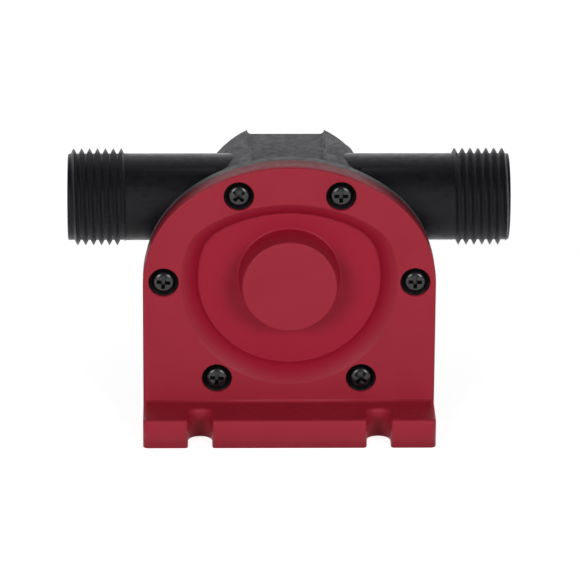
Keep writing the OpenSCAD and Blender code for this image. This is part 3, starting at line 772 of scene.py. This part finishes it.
def grown(name, tree, values, start=None):
    """A plain mesh object made by a tree, its inputs set by their identifiers."""
    piece = add_object(name, start or bpy.data.meshes.new(name))
    change = piece.modifiers.new("nodes", "NODES")
    change.node_group = tree
    for item in tree.interface.items_tree:
        if item.in_out == "INPUT" and item.name in values:
            change[item.identifier] = values[item.name]
    return applied(piece)


ridge_tree = thread_tree()
ridge = grown("ridge", ridge_tree, {
    "Root Radius": ROOT_R * MM, "Ridge Height": (CREST_R - ROOT_R) * MM,
    "Pitch": THREAD_PITCH * MM, "Turns": float(THREAD_TURNS), "Steps per Turn": PORT_STEPS,
    "Finish": body_plastic})
reach = [hypot(v.co.x, v.co.y) / MM for v in ridge.data.vertices]
print("thread radius from", round(min(reach), 2), "to", round(max(reach), 2))
print("thread length", round(min(v.co.z for v in ridge.data.vertices) / MM, 2),
      round(max(v.co.z for v in ridge.data.vertices) / MM, 2))
first, later = ridge.data.vertices[0].co, ridge.data.vertices[4 * 10].co
print("thread turns by", round(degrees(atan2(later.y, later.x) - atan2(first.y, first.x)), 1),
      "degrees while it rises by", round((later.z - first.z) / MM, 3), "mm")

# %% [markdown]
# ## The threaded ends
# Each port ends in a short tube, turned about the port's axis, with a small chamfer on
# its mouth. The ridge is turned so that it starts at the bottom of the mouth and runs
# inwards. Tube and ridge then join the body's own mesh, because on the real pump all of
# it is one moulding.

# %% The threaded ends
MOUTH_CHAMFER, TUBE_OVERLAP = 0.2, 0.35
TUBE_SHARP, THREAD_SHARP = 30, 35


def hose_end(side):
    """The tube under the thread, as a closed ring about the port's axis."""
    inner = THREAD_START - TUBE_OVERLAP
    steps = [(ROOT_R, inner), (ROOT_R, PORT_HALF - MOUTH_CHAMFER),
             (ROOT_R - MOUTH_CHAMFER, PORT_HALF), (WATER_R + MOUTH_CHAMFER, PORT_HALF),
             (WATER_R, PORT_HALF - MOUTH_CHAMFER), (WATER_R, inner)]
    shell = Shell()
    rings = []
    for r, x in steps:
        ring = circle(0, 0, r, 0, FINE_RING)
        rings.append([(side * x, PORT_Y + p[0], PORT_Z + p[2]) for p in ring])
    made = shell.stack(rings)
    shell.wall(made[-1], made[0])
    mesh = shell.mesh("hose_end")
    smoothed(mesh, TUBE_SHARP)
    return add_object("hose_end", mesh)


def on_port(mesh, side):
    """A copy of the ridge turned onto a port, its start at the bottom of the mouth."""
    along, down = Vector((-side, 0, 0)), Vector((0, 0, -1))
    turned = Matrix((down, along.cross(down), along)).transposed().to_4x4()
    start = Vector((side * (PORT_HALF - THREAD_PITCH / 4), PORT_Y, PORT_Z)) * MM
    placed = mesh.copy()
    placed.transform(Matrix.Translation(start) @ turned)
    smoothed(placed, THREAD_SHARP)
    return add_object("thread", placed)


ends = [hose_end(side) for side in (-1, 1)]
ends += [on_port(ridge.data, side) for side in (-1, 1)]
bpy.data.objects.remove(ridge)
coated(joined(body, ends), body_plastic)
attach(body, "housing")
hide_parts("pump_body")
print("body faces:", len(body.data.polygons))

# %% [markdown]
# ## The cover screws
# Six thread-forming screws hold the cover. Each has a pan head with a Phillips cross and a
# dished flange that fills the counterbore, all sunk just below the face. One screw is
# turned as rings, its cross is cut by two tapered wings, and the thread tree gives it its
# thread. A second tree then sets a copy on each of six points, with the turn that each
# screw happened to stop at kept as a named attribute.

# %% One screw
HEAD_R, HEAD_TOP, DOME_HIGH, DOME_POWER = 2.85, 0.12, 1.0, 2.6
HEAD_FLANGE_R, HEAD_FLANGE_FRONT, HEAD_GROOVE = 4.08, 0.7, 2.0
DOME_FIRST_SHARE, DOME_STEPS, GROOVE_GAP, FLANGE_EDGE = 0.1, 12, 0.02, 0.1
SHANK_R, SHANK_LONG, POINT_LONG, POINT_R = 1.2, 20.0, 2.0, 0.3
THREAD_HIGH, SCREW_PITCH, SCREW_TURNS, THREAD_DROP = 0.3, 1.3, 13.0, 1.2
CROSS_MOUTH, CROSS_FLOOR = (4.2, 1.13), (2.9, 0.85)
CROSS_ABOVE, CROSS_DEEP = 0.6, 2.1
HEAD_POINTS, HEAD_SHARP = 40, 38


def screw_body():
    """The head and shank of a screw about the Y axis, its head to the front."""
    steps = []
    for k in range(DOME_STEPS + 1):
        turn = radians(90) * k / DOME_STEPS
        share = DOME_FIRST_SHARE + (1 - DOME_FIRST_SHARE) * sin(turn)
        fall = 1 - (1 - share ** DOME_POWER) ** (1 / DOME_POWER)
        steps.append((HEAD_R * share, HEAD_TOP + DOME_HIGH * fall))
    steps += [(HEAD_R + GROOVE_GAP, HEAD_GROOVE),
              (HEAD_FLANGE_R - FLANGE_EDGE, HEAD_FLANGE_FRONT),
              (HEAD_FLANGE_R, HEAD_FLANGE_FRONT + FLANGE_EDGE), (HEAD_FLANGE_R, BORE_DEEP),
              (SHANK_R, BORE_DEEP), (SHANK_R, BORE_DEEP + SHANK_LONG - POINT_LONG),
              (POINT_R, BORE_DEEP + SHANK_LONG)]
    shell = Shell()
    made = shell.stack([circle(0, 0, r, y, HEAD_POINTS) for r, y in steps])
    shell.fill(made[0])
    shell.fill(made[-1])
    return shell.mesh("screw")


def cross_wing(turn):
    """One tapered wing that cuts half of a cross."""
    shell = Shell()
    rings = []
    for y, (long, wide) in ((HEAD_TOP - CROSS_ABOVE, CROSS_MOUTH),
                            (HEAD_TOP + CROSS_DEEP, CROSS_FLOOR)):
        corners = ((-long, -wide), (long, -wide), (long, wide), (-long, wide))
        across, up = (cos(turn) / 2, sin(turn) / 2), (-sin(turn) / 2, cos(turn) / 2)
        rings.append([(x * across[0] + z * up[0], y, x * across[1] + z * up[1])
                      for x, z in corners])
    made = shell.stack(rings)
    shell.fill(made[0])
    shell.fill(made[1])
    return add_object("cross_wing", shell.mesh("cross_wing"))


screw = add_object("screw", screw_body())
combined(screw, [cross_wing(turn) for turn in (0, pi / 2)], "DIFFERENCE")
smoothed(screw.data, HEAD_SHARP)
screw_thread = grown("screw_thread", ridge_tree, {
    "Root Radius": SHANK_R * MM, "Ridge Height": THREAD_HIGH * MM, "Pitch": SCREW_PITCH * MM,
    "Turns": SCREW_TURNS, "Steps per Turn": SCREW_STEPS, "Finish": screw_steel})
lying = Matrix.Rotation(-pi / 2, 4, "X")
start = Matrix.Translation((0, (BORE_DEEP + THREAD_DROP) * MM, 0))
screw_thread.data.transform(start @ lying)
joined(screw, [screw_thread])
print("one screw has", len(screw.data.polygons), "faces")

# %% Six screws on six points
def screw_tree():
    tree, given, out = new_tree("screws_on_points", [
        ("Screw", "NodeSocketObject"), ("Finish", "NodeSocketMaterial")])
    one = node(tree, "GeometryNodeObjectInfo")
    tree.links.new(given["Screw"], one.inputs["Object"])
    turn = node(tree, "GeometryNodeInputNamedAttribute", data_type="FLOAT")
    turn.inputs["Name"].default_value = "turn"
    lean = node(tree, "ShaderNodeCombineXYZ")
    tree.links.new(turn.outputs["Attribute"], lean.inputs["Y"])
    copies = node(tree, "GeometryNodeInstanceOnPoints")
    tree.links.new(given["Geometry"], copies.inputs["Points"])
    tree.links.new(one.outputs["Geometry"], copies.inputs["Instance"])
    tree.links.new(lean.outputs[0], copies.inputs["Rotation"])
    finish_tree(tree, copies.outputs[0], given, out)
    return tree


points = bpy.data.meshes.new("screw_points")
points.from_pydata([(x * MM, 0, (AXIS_Z + z) * MM) for (x, z), _ in SCREWS], [], [])
points.attributes.new("turn", "FLOAT", "POINT")
points.attributes["turn"].data.foreach_set("value", [radians(turn) for _, turn in SCREWS])
screws = grown("cover_screws_set", screw_tree(), {"Screw": screw, "Finish": screw_steel}, points)
bpy.data.objects.remove(screw)
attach(screws, "housing")
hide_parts("cover_screws")
print("six screws have", len(screws.data.polygons), "faces")

# %% [markdown]
# ## The rubber impeller
# The impeller is moulded rubber, so it has no sharp edge anywhere. Its copy is rebuilt
# from small cubes and smoothed, which fills the roots of the vanes with soft fillets and
# rounds their tips, much as rubber flows in a mould.

# %% The impeller
CUBE, SOFT_FACTOR, SOFT_TIMES = 0.5, 0.5, 4
bm = welded("impeller")
rubber_mesh = bpy.data.meshes.new("impeller_rubber")
bm.to_mesh(rubber_mesh)
bm.free()
impeller = add_object("impeller_rubber", rubber_mesh)
cubes = impeller.modifiers.new("cubes", "REMESH")
cubes.mode, cubes.voxel_size, cubes.use_smooth_shade = "VOXEL", CUBE * MM, True
soft = impeller.modifiers.new("soft", "SMOOTH")
soft.factor, soft.iterations = SOFT_FACTOR, SOFT_TIMES
coated(applied(impeller), soft_rubber)
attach(impeller, "rotor")
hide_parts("impeller")
print("impeller faces:", len(impeller.data.polygons))

# %% [markdown]
# ## Finishes for the inner parts
# The other parts keep their CAD shapes: turned rings, balls and clips are exact as they
# are. They only need their own finish.

# %% Finishes for the CAD nodes
node_finishes = {
    "cover_seal": soft_rubber, "front_bush": bush_bronze, "drive_shaft": ground_steel,
    "impeller_core": natural_nylon, "drive_pin": ground_steel, "seal_case": spring_steel,
    "seal_lip": soft_rubber, "seal_spring": ground_steel, "water_slinger": soft_rubber,
    "bearing_outer_rings": bearing_steel, "bearing_inner_rings": bearing_steel,
    "bearing_balls": bearing_steel, "bearing_cages": natural_nylon,
    "bearing_shields": soft_rubber, "bearing_spacer": bearing_steel,
    "bearing_retainer": spring_steel, "shaft_clips": spring_steel}
for name, material in node_finishes.items():
    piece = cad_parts[name]
    for place in piece.material_slots:
        place.material = material
print("nodes given a finish:", len(node_finishes))

# %% [markdown]
# ## Painted shade in the dish
# The cover's face has a fine grain. In the dish its red is painted darker and purer, as
# painted shade: the sunk dish lacks the grey haze of reflected light that the face has.
# A mask on Object coordinates finds the dish: it is near the shaft's axis and behind the face.

# %% Painted shade: a darker, purer red in the dish
# Painted shade: this red stands in for the dimmer, purer light in the recessed dish.
DISH_SHADE_RED = (0.345, 0.0075, 0.029)
MASK_R, MASK_START, MASK_END = 30.2, 0.2, 2.0


def paint_dish_shade(material):
    tree = material.node_tree
    base = tree.nodes["Principled BSDF"].inputs["Base Color"]
    grained = base.links[0].from_socket
    split = node(tree, "ShaderNodeSeparateXYZ")
    tree.links.new(node(tree, "ShaderNodeTexCoord").outputs["Object"], split.inputs[0])
    x, y, z = split.outputs
    up = maths(tree, "SUBTRACT", z, AXIS_Z * MM)
    across = maths(tree, "MULTIPLY", x, x)
    squares = maths(tree, "ADD", across, maths(tree, "MULTIPLY", up, up))
    near = maths(tree, "LESS_THAN", squares, (MASK_R * MM) ** 2)
    sunk = mapped(tree, y, MASK_START * MM, MASK_END * MM)
    # The mask mixes the painted shade red in where the cover is sunk near the axis.
    colour = node(tree, "ShaderNodeMix", data_type="RGBA")
    colour.inputs[COLOUR_TWO].default_value = (*DISH_SHADE_RED, 1)
    tree.links.new(maths(tree, "MULTIPLY", near, sunk), colour.inputs["Factor"])
    tree.links.new(grained, colour.inputs[COLOUR_ONE])
    tree.links.new(colour.outputs[MIXED], base)


paint_dish_shade(cover_plastic)

# %% [markdown]
# ## Floor, lamps and world
# The photograph was taken in a white studio with two soft lamps in front and above, one
# on each side: they leave two small bright arcs on every screw head. The floor and the
# world are white to the camera. In reflections the world is white behind the pump and dim
# in front, which gives black plastic its grey sheen only where it is seen at a low angle.

# %% The floor
FLOOR_HALF, FLOOR_GREY, FLOOR_ROUGH, FLOOR_GLOW = 3, 0.86, 0.9, 0.78


def rays(tree, *kinds):
    """Is one for the named kinds of ray, and zero for the light that falls on things."""
    path = node(tree, "ShaderNodeLightPath")
    seen = 0.0
    for kind in kinds:
        seen = maths(tree, "MAXIMUM", seen, path.outputs[f"Is {kind} Ray"])
    return seen


floor_finish = bpy.data.materials.new("studio_floor")
floor_finish.use_nodes = True
tree = floor_finish.node_tree
floor_shader = tree.nodes["Principled BSDF"]
floor_shader.inputs["Base Color"].default_value = (FLOOR_GREY, FLOOR_GREY, FLOOR_GREY, 1)
floor_shader.inputs["Roughness"].default_value = FLOOR_ROUGH
floor_shader.inputs["Specular IOR Level"].default_value = 0.0
floor_shader.inputs["Emission Color"].default_value = (1, 1, 1, 1)
glow = maths(tree, "MULTIPLY", rays(tree, "Camera", "Glossy", "Transmission"), FLOOR_GLOW)
tree.links.new(glow, floor_shader.inputs["Emission Strength"])
floor_mesh = bpy.data.meshes.new("floor")
corners = [(x * FLOOR_HALF, y * FLOOR_HALF, 0)
           for x, y in ((-1, -1), (1, -1), (1, 1), (-1, 1))]
floor_mesh.from_pydata(corners, [], [(0, 1, 2, 3)])
floor_mesh.materials.append(floor_finish)
add_object("floor", floor_mesh)

# %% The lamps and the world
LAMP_ASIDE, LAMP_FRONT, LAMP_UP = 0.71, 1.14, 0.5
LAMP_WIDE, LAMP_POWER = 0.6, 7.6
AIM_UP = 0.045
DIM_BEFORE, BRIGHT_FROM, DIM_WORLD, WORLD_LIGHT = -0.1, 0.7, 0.05, 0.16


def soft_lamp(name, place, width, power):
    lamp = bpy.data.lights.new(name, "AREA")
    lamp.shape, lamp.size, lamp.energy = "DISK", width, power
    thing = bpy.data.objects.new(name, lamp)
    thing.location = place
    aim = Vector((0, 0, AIM_UP)) - Vector(place)
    thing.rotation_euler = aim.to_track_quat("-Z", "Y").to_euler()
    bpy.context.scene.collection.objects.link(thing)


for name, side in (("left_lamp", -1), ("right_lamp", 1)):
    soft_lamp(name, (side * LAMP_ASIDE, -LAMP_FRONT, LAMP_UP), LAMP_WIDE, LAMP_POWER)
world = bpy.data.worlds.new("studio")
world.use_nodes = True
sky = world.node_tree.nodes["Background"]
sky.inputs["Color"].default_value = (1, 1, 1, 1)
tree = world.node_tree
split = node(tree, "ShaderNodeSeparateXYZ")
tree.links.new(node(tree, "ShaderNodeTexCoord").outputs["Generated"], split.inputs[0])
behind = mapped(tree, split.outputs["Y"], DIM_BEFORE, BRIGHT_FROM, DIM_WORLD)
mirrored = maths(tree, "MULTIPLY", rays(tree, "Glossy"), behind)
white = maths(tree, "MAXIMUM", rays(tree, "Camera", "Transmission"), mirrored)
strength = maths(tree, "MAXIMUM", white, WORLD_LIGHT)
tree.links.new(strength, sky.inputs["Strength"])
bpy.context.scene.world = world
bpy.context.scene.view_settings.view_transform = "Standard"
